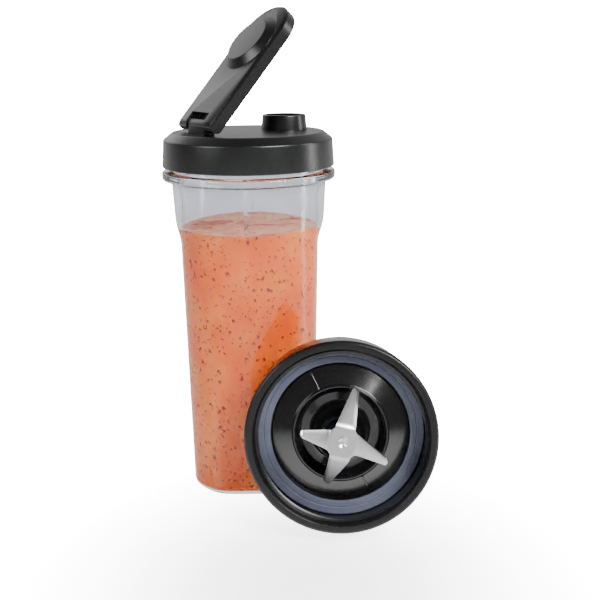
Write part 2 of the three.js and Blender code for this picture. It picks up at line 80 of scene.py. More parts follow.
CUP = {
    "flat_base": 34.0, "flat_top": 36.9, "corner_base": 38.4, "corner_top": 39.3, "flats_end": 137,
    "neck_low": 150, "neck_high": 171, "neck_low_radius": 40.1, "neck_high_radius": 41.1,
    "edge": 5, "inner_edge": 3.5, "base": 20, "wall": 2.4, "neck_wall": 3.3, "neck_wall_from": 160,
    "floor": 2.6, "finish": 40.4, "mouth": 36.9, "flange_low": 171.2, "flange_high": 175.7,
}
FLARE = 0.04  # how fast the flats curve out above their end
CORNER_BLEND = 30  # the higher, the tighter the bend between a flat and a corner
CUP_RIB = {"inside": 1.2, "proud": 1.4, "half": 0.9, "edge": 0.5}
FLANGE = outer_radius("cup_body")
RIM = top("cup_body")
DRINK = top("smoothie")
WETTING = -0.05  # the drink wets the wall, so no air shows between them

LEAD = 7  # rise of every thread in one turn
CUP_THREAD = {"tip": 42.2, "start": CUP["flange_high"] + 3.8, "turns": 1.1}
CAP_THREAD = {"root": 43.2, "tip": 41.2, "turns": 0.85}  # in the lid and in the blade unit's collar
RIDGE = ((0, -1.2), (0.65, -0.85), (1, -0.45), (1, 0.45), (0.65, 0.85), (0, 1.2))  # share of depth, height
RIDGE_STEPS = 96  # in one turn
RUN_OUT = 12  # a ridge rises over this fraction of its length, and falls again over the last

LID = {
    "inner": 42.8, "outer": 45.6, "low": 178, "bevel": 44.67, "bevel_drop": 3.7, "deck": 39.95,
    "deck_wall": 2.5, "thread_share": 0.3, "thread_drop": 2.0,
}
SPOUT = {"reach": 22.6, "base": 12.35, "top": 11.6, "bore": 9.7, "height": 7.7}
HINGE_REACH = hypot(HINGE.x, HINGE.y)
BARREL = {"radius": 3.2, "half_width": 8.8, "plinth": 3.0}
CAP = {
    "length": 76, "half": 18.3, "ear": 18.0, "low": -3.1, "high": 4.1, "chamfer": 1.3, "wall": 1.7,
    "notch_half": 9.2, "notch_reach": 5.0, "boss_base": 17.0, "boss_top": 13.0, "boss_height": 3.3,
    "recess": 12.2, "recess_top": 3.8, "seat": 10.2, "round": 0.4,
}

UNIT = {
    "height": 32, "collar": 48.2, "back": 47.1, "back_wall": 2.4, "inner": 42.8, "mouth": 44.2,
    "ledge": 11.7, "ledge_wall": 2.5, "ledge_inner": 34.5,
}
GASKET = {"inner": 35.5, "outer": 42.5, "groove": 38.9, "top": 16.7}
SEAT = 14.2  # the dish's rim, under the gasket
DISH = {
    "bore": 5.6, "hub": 6.6, "hub_top": 37, "hub_foot": 14.4, "well": 11.0, "well_radius": 20, "skirt": 34.2,
    "rim": 35.2, "lip": 24.0, "lip_top": GASKET["top"] + 3.2,
    "rib_turns": (116, 296), "rib_reach": 29.3, "rib_tilt": 14,
    "screw_turns": (30, 150, 270), "screw_reach": 29, "post": 3, "screw_hole": 1.3,
}
BLADE_PLANE = 41
BLADE_TURN = radians(79)
BLADE = {"hub": 6.6, "half": 5, "thick": 1.2, "bend_radius": 2.5, "hole": 2.5, "ground": 0.25}
WINGS = ((-44, 24.0), (40, 19.0)) * 2  # bend in degrees, and length from the hub
SHAFT = 3.0

WHITE = 26.0  # brightness of the white sweep behind the object
# Painted shade: the table's glow is dimmed close to the object into a grey pool.
NEAR_PAINTED_SHADE = 2.2  # brightness of the table close to the object, where its reflection shows
OTHER_RAYS = 0.4  # what all but the camera sees of the table's own brightness


def frame_of(x_axis, z_axis, origin):
    """A matrix in metres from a piece's own frame, in millimetres."""
    y_axis = z_axis.cross(x_axis)
    turned = Matrix((x_axis, y_axis, z_axis)).transposed().to_4x4()
    return Matrix.Translation(origin * MM) @ turned @ Matrix.Scale(MM, 4)


CUP_FRAME = Matrix.Scale(MM, 4)
LID_X = Vector((cos(LID_TURN), sin(LID_TURN), 0))
LID_FRAME = frame_of(LID_X, Vector((0, 0, 1)), Vector())
CAP_X = LID_X * cos(CAP_OPEN) + Vector((0, 0, sin(CAP_OPEN)))
CAP_FRAME = frame_of(CAP_X, CAP_X.cross(-HINGE_AXIS), HINGE)
UNIT_X = Vector((-BLADE_AXIS.y, BLADE_AXIS.x, 0)).normalized()
UNIT_FRAME = frame_of(UNIT_X, BLADE_AXIS, BLADE_PIVOT - BLADE_AXIS * PIVOT_HEIGHT)


# ---- mesh helpers ----

def piece(name, build, place, body, material, sharp=35, replaced=()):
    """Makes a shown piece from a bmesh in its own frame."""
    bmesh.ops.remove_doubles(build, verts=build.verts, dist=1e-4)
    bmesh.ops.recalc_face_normals(build, faces=build.faces)
    mesh = bpy.data.meshes.new(name)
    build.to_mesh(mesh)
    build.free()
    mesh.transform(place)
    for polygon in mesh.polygons:
        polygon.use_smooth = True
    mesh.set_sharp_from_angle(angle=radians(sharp))
    mesh.materials.append(material)
    shown = bpy.data.objects.new(name, mesh)
    bpy.context.scene.collection.objects.link(shown)
    if body:
        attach(shown, body)
    if replaced:
        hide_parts(*replaced)
    return shown


def rounded(points, steps=6):
    """An outline of (radius, height[, round]) points with its corners rounded."""
    outline = []
    for i, point in enumerate(points):
        here = Vector(point[:2])
        if len(point) < 3:
            outline.append(here)
            continue
        before = Vector(points[i - 1][:2]) - here
        after = Vector(points[(i + 1) % len(points)][:2]) - here
        half = before.angle(after) / 2
        most = min(before.length * 0.49, after.length * 0.49)
        reach = min(point[2] / max(sin(half), 0.05) * cos(half), most)
        start = here + before.normalized() * reach
        end = here + after.normalized() * reach
        for step in range(steps + 1):
            part = step / steps
            outline.append(start.lerp(here, part).lerp(here.lerp(end, part), part))
    return outline


def lathe(outline, sides=SIDES, press=None):
    """A closed turned body. Points on the axis close it, and any other outline closes on itself."""
    build = bmesh.new()
    rows = []
    for radius, height in (point[:2] for point in outline):
        if radius < 1e-6:
            rows.append([build.verts.new((0, 0, height))])
            continue
        row = []
        for i in range(sides):
            angle = 2 * pi * i / sides
            reach = press(radius, height, angle) if press else radius
            row.append(build.verts.new((reach * cos(angle), reach * sin(angle), height)))
        rows.append(row)
    pairs = list(zip(rows, rows[1:]))
    if len(rows[0]) > 1:
        pairs.append((rows[-1], rows[0]))
    for low, high in pairs:
        for i in range(sides):
            j = (i + 1) % sides
            if len(low) > 1 and len(high) > 1:
                build.faces.new((low[i], low[j], high[j], high[i]))
            elif len(low) > 1:
                build.faces.new((low[i], low[j], high[0]))
            elif len(high) > 1:
                build.faces.new((low[0], high[j], high[i]))
    return build


def loft(rings):
    """A closed body through equal rings of points, with both ends filled."""
    build = bmesh.new()
    rows = [[build.verts.new(point) for point in ring] for ring in rings]
    count = len(rings[0])
    for low, high in zip(rows, rows[1:]):
        for i in range(count):
            j = (i + 1) % count
            build.faces.new((low[i], low[j], high[j], high[i]))
    build.faces.new(rows[0])
    build.faces.new(rows[-1])
    return build


def combine(first, second, operation):
    """Joins or cuts two bodies with an exact boolean."""
    objects = []
    for build in (first, second):
        bmesh.ops.recalc_face_normals(build, faces=build.faces)
        mesh = bpy.data.meshes.new("boolean")
        build.to_mesh(mesh)
        build.free()
        made = bpy.data.objects.new("boolean", mesh)
        bpy.context.scene.collection.objects.link(made)
        objects.append(made)
    modifier = objects[0].modifiers.new("join", "BOOLEAN")
    modifier.operation = operation
    modifier.object = objects[1]
    modifier.solver = "EXACT"
    bpy.context.view_layer.update()
    graph = bpy.context.evaluated_depsgraph_get()
    result = bmesh.new()
    result.from_mesh(objects[0].evaluated_get(graph).to_mesh())
    for made in objects:
        bpy.data.objects.remove(made)
    return result


def move(build, matrix):
    bmesh.ops.transform(build, matrix=matrix, verts=build.verts)
    return build


def turned_cylinder(radius, low, high, matrix, sides=96, edge=0.2):
    outline = rounded([(0, low), (radius, low, edge), (radius, high, edge), (0, high)])
    return move(lathe(outline, sides), matrix)


def box(x0, x1, y0, y1, z0, z1, edge=0):
    build = bmesh.new()
    bmesh.ops.create_cube(build, size=1)
    size = Matrix.Diagonal((x1 - x0, y1 - y0, z1 - z0, 1))
    middle = Vector((x0 + x1, y0 + y1, z0 + z1)) / 2
    bmesh.ops.transform(build, matrix=Matrix.Translation(middle) @ size, verts=build.verts)
    if edge:
        bmesh.ops.bevel(build, geom=build.edges, offset=edge, segments=4, profile=0.5, affect="EDGES")
    return build


def helix(root, tip, start_angle, start_height, turns):
    """A screw thread's ridge, with sloping shoulders and ends that run out."""
    steps = ceil(turns * RIDGE_STEPS)
    rings = []
    for i in range(steps + 1):
        part = i / steps
        angle = start_angle + part * turns * 2 * pi
        height = start_height + part * turns * LEAD
        rise = min(1, part * RUN_OUT, (1 - part) * RUN_OUT) ** 0.5
        reach = root + (tip - root) * max(rise, 0.05)
        section = [(root * (1 - share) + reach * share, z) for share, z in RIDGE]
        rings.append([(r * cos(angle), r * sin(angle), height + z) for r, z in section])
    return loft(rings)


# ---- materials ----

def shader(name):
    material = bpy.data.materials.new(name)
    material.use_nodes = True
    nodes = material.node_tree.nodes
    links = material.node_tree.links
    principled = nodes["Principled BSDF"]
    place = nodes.new("ShaderNodeTexCoord")
    return material, nodes, links, principled, place


def noise_node(nodes, links, place, scale, detail=4, stretch=(1, 1, 1)):
    mapping = nodes.new("ShaderNodeMapping")
    mapping.inputs["Scale"].default_value = stretch
    links.new(place.outputs["Object"], mapping.inputs["Vector"])
    texture = nodes.new("ShaderNodeTexNoise")
    texture.inputs["Scale"].default_value = scale
    texture.inputs["Detail"].default_value = detail
    links.new(mapping.outputs["Vector"], texture.inputs["Vector"])
    return texture


def ramp(nodes, links, source, stops):
    node = nodes.new("ShaderNodeValToRGB")
    node.color_ramp.elements[0].position = stops[0][0]
    node.color_ramp.elements[0].color = (*stops[0][1], 1)
    node.color_ramp.elements[1].position = stops[-1][0]
    node.color_ramp.elements[1].color = (*stops[-1][1], 1)
    for position, value in stops[1:-1]:
        node.color_ramp.elements.new(position).color = (*value, 1)
    links.new(source, node.inputs["Fac"])
    return node


def spread(nodes, links, source, low, high):
    node = nodes.new("ShaderNodeMapRange")
    node.inputs["To Min"].default_value = low
    node.inputs["To Max"].default_value = high
    links.new(source, node.inputs["Value"])
    return node


def bump(nodes, links, source, principled, strength, distance):
    node = nodes.new("ShaderNodeBump")
    node.inputs["Strength"].default_value = strength
    node.inputs["Distance"].default_value = distance
    links.new(source, node.inputs["Height"])
    links.new(node.outputs["Normal"], principled.inputs["Normal"])


DRIFT_SCALE = 45
GRAIN_HEIGHT = 0.00005  # metres


def moulded(name, dark, light, rough_low, rough_high, grain, depth,
            metallic=0.0, stretch=(1, 1, 1), shine=0.4):
    """Moulded plastic, rubber or metal: slow colour drift, uneven gloss and a fine surface grain."""
    material, nodes, links, principled, place = shader(name)
    drift = noise_node(nodes, links, place, DRIFT_SCALE)
    fine = noise_node(nodes, links, place, grain, 6, stretch)
    colour = ramp(nodes, links, drift.outputs["Fac"], [(0.35, dark), (0.65, light)])
    links.new(colour.outputs["Color"], principled.inputs["Base Color"])
    gloss = spread(nodes, links, fine.outputs["Fac"], rough_low, rough_high)
    links.new(gloss.outputs["Result"], principled.inputs["Roughness"])
    bump(nodes, links, fine.outputs["Fac"], principled, depth, GRAIN_HEIGHT)
    principled.inputs["Metallic"].default_value = metallic
    principled.inputs["Specular IOR Level"].default_value = shine
    return material


def clear_plastic():
    """Moulded clear plastic with a faint cool tint and slow waves in its surface."""
    material, nodes, links, principled, place = shader("clear_plastic")
    principled.inputs["Transmission Weight"].default_value = 1.0
    principled.inputs["IOR"].default_value = 1.46
    waves = noise_node(nodes, links, place, 60, 2)
    tint = ramp(nodes, links, waves.outputs["Fac"], [(0.3, (0.84, 0.85, 0.92)), (0.7, (0.88, 0.89, 0.945))])
    links.new(tint.outputs["Color"], principled.inputs["Base Color"])
    gloss = spread(nodes, links, waves.outputs["Fac"], 0.01, 0.05)
    links.new(gloss.outputs["Result"], principled.inputs["Roughness"])
    bump(nodes, links, waves.outputs["Fac"], principled, 0.12, 0.0004)
    return material


SPECKS = ((270, 0.14, 0.26, (1, 1, 0.7)), (480, 0.16, 0.28, (1, 1, 0.8)))  # scale, core, edge, stretch
TORN = 0.004  # how far, in metres, a speck's edge is pulled about


def speckled(name, tones, speck, swirl, painted_glow):
    """Blended fruit: drifting tones with torn dark specks, and a faint painted glow that stands in for light
    scattering inside it.
    """
    material, nodes, links, principled, place = shader(name)
    drift = noise_node(nodes, links, place, 60, 4, (1, 1, 0.6))
    drift.inputs["Distortion"].default_value = swirl
    colour = ramp(nodes, links, drift.outputs["Fac"], tones)
    last = colour.outputs["Color"]
    warp = noise_node(nodes, links, place, 420, 3)
    for scale, low, high, stretch in SPECKS:
        mapping = nodes.new("ShaderNodeMapping")
        mapping.inputs["Scale"].default_value = stretch
        links.new(place.outputs["Object"], mapping.inputs["Vector"])
        mixed = nodes.new("ShaderNodeVectorMath")
        mixed.operation = "MULTIPLY_ADD"
        links.new(warp.outputs["Color"], mixed.inputs[0])
        mixed.inputs[1].default_value = (TORN, TORN, TORN)
        links.new(mapping.outputs["Vector"], mixed.inputs[2])
        cells = nodes.new("ShaderNodeTexVoronoi")
        cells.inputs["Scale"].default_value = scale
        links.new(mixed.outputs["Vector"], cells.inputs["Vector"])
        mask = ramp(nodes, links, cells.outputs["Distance"], [(low, (1, 1, 1)), (high, (0, 0, 0))])
        pick = ramp(nodes, links, cells.outputs["Color"], [(0.36, (0, 0, 0)), (0.44, (1, 1, 1))])
        both = nodes.new("ShaderNodeMath")
        both.operation = "MULTIPLY"
        links.new(mask.outputs["Color"], both.inputs[0])
        links.new(pick.outputs["Color"], both.inputs[1])
        mix = nodes.new("ShaderNodeMix")
        mix.data_type = "RGBA"
        links.new(both.outputs["Value"], mix.inputs["Factor"])
        links.new(last, mix.inputs["A"])
        mix.inputs["B"].default_value = (*speck, 1)
        last = mix.outputs["Result"]
    links.new(last, principled.inputs["Base Color"])
    # Painted glow: the fruit's own colour is emitted, standing in for light scattering inside it.
    links.new(last, principled.inputs["Emission Color"])
    principled.inputs["Emission Strength"].default_value = painted_glow
    gloss = spread(nodes, links, drift.outputs["Fac"], 0.35, 0.55)
    links.new(gloss.outputs["Result"], principled.inputs["Roughness"])
    principled.inputs["Specular IOR Level"].default_value = 0.08
    bump(nodes, links, warp.outputs["Fac"], principled, 0.3, 0.0003)
    return material


FINISH = {
    "clear_plastic": clear_plastic(),
    "drink": speckled(
        "drink", [(0.3, (0.94, 0.125, 0.006)), (0.5, (1.0, 0.19, 0.010)), (0.7, (1.0, 0.28, 0.028))],
        (0.26, 0.010, 0.006), swirl=0.3, painted_glow=0.05),
    "black_satin": moulded(
        "black_satin", (0.002, 0.002, 0.0022), (0.0035, 0.0035, 0.0037), 0.27, 0.34, 700, 0.05),
    "black_gloss": moulded(
        "black_gloss", (0.002, 0.002, 0.0022), (0.004, 0.004, 0.0045), 0.10, 0.16, 300, 0.02, shine=1.0),
    "gasket_grey": moulded(
        "gasket_grey", (0.062, 0.072, 0.105), (0.082, 0.092, 0.13), 0.42, 0.55, 1200, 0.2),
    "soft_black": moulded(
        "soft_black", (0.018, 0.018, 0.02), (0.026, 0.026, 0.028), 0.55, 0.7, 1200, 0.3),
    "steel": moulded(
        "steel", (0.47, 0.465, 0.47), (0.56, 0.555, 0.56), 0.26, 0.42, 700, 0.3,
        metallic=1.0, stretch=(1, 6, 1)),
    "bronze": moulded(
        "bronze", (0.42, 0.27, 0.10), (0.55, 0.37, 0.16), 0.35, 0.5, 1500, 0.3, metallic=1.0),
}
# The foam's stronger painted glow brightens it where the lid shades it.
FOAM = speckled(
    "foam", [(0.36, (0.6, 0.05, 0.015)), (0.46, (1.0, 0.28, 0.09)), (0.62, (1.0, 0.48, 0.26))],
    (0.28, 0.03, 0.02), swirl=1.2, painted_glow=0.45)


# ---- cup and drink ----

def edge_inset(height, edge):
    """How far the rounded bottom edge pulls the side in."""
    if height >= edge:
        return 0
    return edge - sqrt(edge ** 2 - (edge - max(height, 0)) ** 2)


def smooth(value, low, high):
    """Eases from 0 at `low` to 1 at `high`."""
    part = min(max((value - low) / (high - low), 0), 1)
    return part * part * (3 - 2 * part)


def corner(z):
    """The cup's radius at its corners, and all round in the neck."""
    if z <= CUP["flats_end"]:
        return CUP["corner_base"] + (CUP["corner_top"] - CUP["corner_base"]) * z / CUP["flats_end"]
    if z <= CUP["neck_low"]:
        part = smooth(z, CUP["flats_end"], CUP["neck_low"])
        return CUP["corner_top"] + (CUP["neck_low_radius"] - CUP["corner_top"]) * part
    part = (z - CUP["neck_low"]) / (CUP["neck_high"] - CUP["neck_low"])
    return CUP["neck_low_radius"] + (CUP["neck_high_radius"] - CUP["neck_low_radius"]) * part


def wall(z):
    """The cup's wall, which thickens into the neck."""
    part = smooth(z, CUP["flats_end"], CUP["neck_wall_from"])
    return CUP["wall"] + (CUP["neck_wall"] - CUP["wall"]) * part


def flats(base, inset, edge):
    """Presses the four flats into a round body whose bottom is at `base`."""
    def press(radius, z, angle):
        if radius < 1 or z > CUP["flange_low"] - 1:
            return radius
        straight = CUP["flat_base"] + (CUP["flat_top"] - CUP["flat_base"]) * z / CUP["flats_end"]
        straight += FLARE * max(z - CUP["flats_end"], 0) ** 2
        from_flat = (angle + pi / 4) % (pi / 2) - pi / 4
        reach = (straight - inset - edge_inset(z - base, edge)) / cos(from_flat)
        return (radius ** -CORNER_BLEND + reach ** -CORNER_BLEND) ** (-1 / CORNER_BLEND)
    return press


def side(base, high, inset, edge):
    """Points up the side, close together at the bottom edge and at the shoulder."""
    shoulder, coarse, fine = 130, 12, 2
    heights = [base + edge * (i / 8) ** 2 for i in range(9)]
    heights += [z for z in range(coarse, shoulder, coarse) if z > base + edge]
    heights += [z for z in range(shoulder, int(high), fine) if z < high - 0.5]
    return [(corner(z) - inset(z) - edge_inset(z - base, edge), z) for z in [*heights, high]]


def make_cup():
    outer = lathe([
        (0, 0), (CUP["base"], 0), *side(0, CUP["neck_high"] - 2, lambda z: 0, CUP["edge"]),
        *rounded([
            (corner(169) + 0.1, 169.4), (corner(171) + 0.2, CUP["flange_low"], 1.2),
            (FLANGE, CUP["flange_low"], 1.6), (FLANGE, CUP["flange_high"], 1.3),
            (CUP["finish"], CUP["flange_high"], 0.6), (CUP["finish"], RIM, 0.9), (CUP["mouth"] - 2, RIM),
        ])[1:], (0, RIM)], press=flats(0, 0, CUP["edge"]))
    hollow = lathe([
        (0, CUP["floor"]), (CUP["base"], CUP["floor"]),
        *side(CUP["floor"], CUP["neck_high"] - 4, wall, CUP["inner_edge"]),
        (CUP["mouth"], CUP["neck_high"] + 6), (CUP["mouth"], RIM + 1), (0, RIM + 1),
    ], press=flats(CUP["floor"], CUP["wall"], CUP["inner_edge"]))
    body = combine(outer, hollow, "DIFFERENCE")
    thread = helix(CUP["finish"] - 0.4, CUP_THREAD["tip"], 0, CUP_THREAD["start"], CUP_THREAD["turns"])
    body = combine(body, thread, "UNION")
    reach = CUP["neck_low_radius"] - CUP["neck_wall"]
    for i in range(4):
        rib = box(reach - CUP_RIB["inside"], reach + CUP_RIB["proud"], -CUP_RIB["half"], CUP_RIB["half"],
                  DRINK + 1, CUP["neck_high"], CUP_RIB["edge"])
        body = combine(body, move(rib, Matrix.Rotation(i * pi / 2, 4, "Z")), "UNION")
    piece("cup_clear_body", body, CUP_FRAME, "cup", FINISH["clear_plastic"],
          sharp=40, replaced=["cup_body"])


def make_drink():
    base = CUP["floor"] + WETTING
    edge = CUP["inner_edge"]
    points = side(base, DRINK - 0.6, lambda z: wall(z) + WETTING, edge)
    rim = corner(DRINK) - wall(DRINK) - WETTING
    level = DRINK - 0.4
    surface = [(rim - 0.2, DRINK - 0.2), (rim - 0.8, DRINK - 0.1)]
    surface += [(rim * (1 - (i / 24) ** 0.9) - 0.5, level) for i in range(1, 24)]
    build = lathe([(0, base), (CUP["base"], base), *points, *surface, (0, level)],
                  press=flats(base, CUP["wall"] + WETTING, edge))
    for vertex in build.verts:
        inside = hypot(vertex.co.x, vertex.co.y) < rim - 0.5
        if inside and vertex.co.z > level - 0.05:
            swell, ripple = noise.noise(vertex.co * 0.22), noise.noise(vertex.co * 0.9)
            vertex.co.z += 0.35 * swell + 0.12 * ripple
    drink = piece("drink", build, CUP_FRAME, "cup", FINISH["drink"], sharp=60, replaced=["smoothie"])
    drink.data.materials.append(FOAM)
    foam_from = (DRINK - 0.9) * MM
    for polygon in drink.data.polygons:
        if polygon.center.z > foam_from and polygon.normal.z > 0.6:
            polygon.material_index = 1


# ---- lid and flip cap ----

def make_lid():
    under = DECK - LID["deck_wall"]
    body = lathe(rounded([
        (0, under), (LID["inner"], under, 0.8), (LID["inner"], LID["low"], 0.3),
        (LID["outer"], LID["low"], 0.6), (LID["bevel"], DECK - LID["bevel_drop"], 1.4),
        (LID["deck"], DECK, 1.6), (0, DECK)]))
    spout_place = Matrix.Translation((SPOUT["reach"], 0, 0))
    spout_top = DECK + SPOUT["height"]
    bore = turned_cylinder(SPOUT["bore"], under - 1, spout_top + 1, spout_place)
    inside = 8  # less than the bore, which is cut after the spout is joined on
    spout = lathe(rounded([
        (inside, under + 0.5), (SPOUT["base"], under + 0.5), (SPOUT["base"], DECK - 0.3),
        (SPOUT["base"] - 0.05, DECK + 0.3, 0.3), (SPOUT["top"], spout_top, 0.9), (inside, spout_top)]))
    body = combine(body, move(spout, spout_place), "UNION")
    body = combine(body, bore, "DIFFERENCE")
    across = Matrix.Translation((-HINGE_REACH, 0, DECK + HINGE_RISE)) @ Matrix.Rotation(pi / 2, 4, "X")
    barrel = turned_cylinder(BARREL["radius"], -BARREL["half_width"], BARREL["half_width"], across, edge=0.5)
    plinth = box(-HINGE_REACH - BARREL["plinth"], -HINGE_REACH + BARREL["plinth"],
                 -BARREL["half_width"], BARREL["half_width"], DECK - 1, DECK + HINGE_RISE)
    body = combine(body, combine(barrel, plinth, "UNION"), "UNION")
    body = combine(body, turned_cylinder(PIN_HOLE, -10, 10, across, 48), "DIFFERENCE")
    thread = helix(CAP_THREAD["root"], CAP_THREAD["tip"], LID["thread_share"] * 2 * pi - LID_TURN,
                   CUP_THREAD["start"] - LID["thread_drop"] + LID["thread_share"] * LEAD, CAP_THREAD["turns"])
    body = combine(body, thread, "UNION")
    piece("lid_moulding", body, LID_FRAME, "lid", FINISH["black_satin"], SHARP, ["lid_shell"])


def cap_ring(z, inset, start):
    """The cap's plan outline at one height."""
    centre = CAP["length"] - CAP["half"]
    points = [(start, -CAP["ear"] + inset, z)]
    for i in range(65):
        angle = -pi / 2 + pi * i / 64
        reach = CAP["half"] - inset
        points.append((centre + reach * cos(angle), reach * sin(angle), z))
    points.append((start, CAP["ear"] - inset, z))
    return points


def make_cap():
    low, high, chamfer, shell, edge = CAP["low"], CAP["high"], CAP["chamfer"], CAP["wall"], CAP["round"]
    middle, reach = (low + high) / 2, (high - low) / 2

    def end(z):
        """Where the half-round hinge end starts at one height."""
        return -sqrt(max(reach ** 2 - (z - middle) ** 2, 0))

    hollow_start = CAP["notch_reach"] + shell
    rings = [cap_ring(high - shell, shell + edge, hollow_start + edge),
             cap_ring(high - shell - edge, shell, hollow_start),
             cap_ring(low + 0.2, shell, hollow_start), cap_ring(low, shell + 0.15, hollow_start - 0.1),
             cap_ring(low, edge, end(low))]
    for i in range(1, 5):
        z = low + 0.1 * i
        rings.append(cap_ring(z, edge - edge * sqrt(1 - (1 - i / 4) ** 2), end(z)))
    heights = [low + 0.6 + (high - chamfer - low - 0.7) * i / 10 for i in range(11)]
    rings += [cap_ring(z, 0, end(z)) for z in heights]
    rings += [cap_ring(high - chamfer, 0.1, end(high - chamfer)),
              cap_ring(high - 0.15, chamfer - 0.1, end(high - 0.15)), cap_ring(high, chamfer + 0.15, -0.1)]
    body = loft(rings)
    over_spout = Matrix.Translation((HINGE_REACH + SPOUT["reach"], 0, 0))
    boss_top = high + CAP["boss_height"]
    boss = lathe(rounded([
        (0, high - 0.6), (CAP["boss_base"], high - 0.6), (CAP["boss_base"], high + 0.1, 0.2),
        (CAP["boss_top"], boss_top, 0.9), (0, boss_top)]))
    body = combine(body, move(boss, over_spout), "UNION")
    recess = turned_cylinder(CAP["recess"], high - shell - 0.1, CAP["recess_top"], over_spout)
    body = combine(body, recess, "DIFFERENCE")
    seat = turned_cylinder(CAP["seat"], high - shell, boss_top - 1.6, over_spout)
    body = combine(body, seat, "DIFFERENCE")
    notch = box(-6, CAP["notch_reach"], -CAP["notch_half"], CAP["notch_half"], low - 1, high + 1)
    body = combine(body, notch, "DIFFERENCE")
    across = Matrix.Rotation(pi / 2, 4, "X")
    pin_half = CAP["ear"] - 1.4
    body = combine(body, turned_cylinder(PIN_HOLE, -pin_half, pin_half, across, 48), "DIFFERENCE")
    piece("flip_cap", body, CAP_FRAME, "flip_cap", FINISH["black_satin"],
          SHARP, ["flip_cap_shell"])


# ---- blade unit ----

def unit_piece(name, build, slot, replaced, body="blade_unit"):
    piece(name, build, UNIT_FRAME, body, FINISH[slot], SHARP, replaced)


def make_collar():
    height, ledge = UNIT["height"], UNIT["ledge"]
    back_inner = UNIT["back"] - UNIT["back_wall"]
    body = lathe(rounded([
        (back_inner, 0, 0.3), (UNIT["back"], 0, 1.0), (UNIT["back"] + 0.5, 12), (UNIT["collar"], 28, 3),
        (UNIT["collar"] - 0.1, height - 1, 0.8), (UNIT["collar"] - 1.3, height, 0.6),
        (UNIT["mouth"], height, 0.4), (UNIT["inner"], height - 2, 0.6), (UNIT["inner"], ledge),
        (UNIT["ledge_inner"], ledge, 0.3), (UNIT["ledge_inner"], ledge - UNIT["ledge_wall"], 0.3),
        (back_inner, ledge - UNIT["ledge_wall"])]))
    turns = CAP_THREAD["turns"]
    thread = helix(CAP_THREAD["root"], CAP_THREAD["tip"], 0, height - 3.6 - turns * LEAD, turns)
    unit_piece("collar", combine(body, thread, "UNION"), "black_satin", ["blade_collar"])


def make_gasket():
    inner, outer, groove, upper = GASKET["inner"], GASKET["outer"], GASKET["groove"], GASKET["top"]
    unit_piece("sealing_ring", lathe(rounded([
        (inner, SEAT, 0.2), (outer, SEAT, 0.2), (outer, upper, 0.5), (groove + 0.3, upper - 0.05),
        (groove, upper - 0.3, 0.1), (groove - 0.3, upper - 0.05), (inner, upper, 0.5)])),
        "gasket_grey", ["cup_gasket"])


def make_dish():
    well, lip, lip_top, bore = DISH["well"], DISH["lip"], DISH["lip_top"], DISH["bore"]
    skirt, rim, seat, sealed = DISH["skirt"], DISH["rim"], SEAT, GASKET["top"]
    dome = [(-22 + 36 * cos(radians(a)), well + 2 + 36 * sin(radians(a))) for a in range(4, 35, 2)]
    body = lathe(rounded([
        (bore, well - 4.4), (9, well - 4.4, 0.4), (9, well - 2), (22.8, well - 2, 0.8), (lip, lip_top - 3.2),
        (skirt, seat - 1.6), (skirt, seat - 2.2), (GASKET["outer"], seat - 2.2, 0.3),
        (GASKET["outer"], seat - 0.3, 0.3), (rim, seat - 0.3), (rim, sealed - 0.6, 0.3),
        (rim - 0.9, sealed - 0.2, 0.8), (lip + 0.6, lip_top - 0.9, 0.6), (lip, lip_top, 0.3),
        (lip - 0.8, lip_top, 0.3), (21.6, well + 1.6, 1.5), (DISH["well_radius"], well, 1), (15.5, well, 1),
        (DISH["hub_foot"], well + 1.2), *dome, (7.2, DISH["hub_top"] - 1.5),
        (DISH["hub"], DISH["hub_top"], 0.4), (bore, DISH["hub_top"])]))
    tilt = Matrix.Rotation(radians(DISH["rib_tilt"]), 4, "Y")
    slope = Matrix.Translation((DISH["rib_reach"], 0, sealed + 1.1)) @ tilt
    for turn in DISH["rib_turns"]:
        rib = box(-4.9, 4.9, -0.5, 0.5, -1.4, 0.7, 0.25)
        body = combine(body, move(rib, Matrix.Rotation(radians(turn), 4, "Z") @ slope), "UNION")
    screw_place = Matrix.Translation((DISH["screw_reach"], 0, 0))
    for turn in DISH["screw_turns"]:
        around = Matrix.Rotation(radians(turn), 4, "Z")
        post = turned_cylinder(DISH["post"], 4.2, sealed - 1.6, screw_place, 40)
        body = combine(body, move(post, around), "UNION")
        hole = turned_cylinder(DISH["screw_hole"], 3.9, 10.9, screw_place, 32)
        body = combine(body, move(hole, around), "DIFFERENCE")
    unit_piece("dish_and_hub", body, "black_gloss", ["blade_dish"])


def wing(turn, bend, length):
    """One wing: bent at the hub's edge, with a ground bevel along its straight edge."""
    hub, half, thick, radius = BLADE["hub"], BLADE["half"], BLADE["thick"], BLADE["bend_radius"]
    rounded_from = 0.93  # of the length, where the tip starts to round
    inside = 1.0  # how far the wing starts inside the hub
    sign = 1 if bend > 0 else -1
    rings = []
    for i in range(33):
        along = -inside + (length + inside) * i / 32
        part = max(along, 0) / length
        tip = sqrt(max(1 - max(part - rounded_from, 0) ** 2 / 0.07 ** 2, 0.02))
        low = -half + 0.3 * part + (1 - tip) * 1.4
        high = half - 6.4 * part - (1 - tip) * 1.4
        angle = min(max(along / radius, 0), abs(bend))
        run = max(along - abs(bend) * radius, 0)
        x = hub + (radius * sin(angle) + run * cos(angle) if along > 0 else along)
        z = sign * (radius * (1 - cos(angle)) + run * sin(angle)) if along > 0 else 0
        normal = Vector((-sign * sin(angle), 0, cos(angle)))
        ground = BLADE["ground"] if part > 0.05 else thick
        section = ((low, ground * 0.5 + 0.1), (low + 1.7, thick), (high - 0.1, thick), (high, thick - 0.1),
                   (high, 0.1), (high - 0.1, 0), (low, 0))
        rings.append([Vector((x, y, z)) + normal * lift for y, lift in section])
    return move(loft(rings), Matrix.Rotation(turn, 4, "Z"))


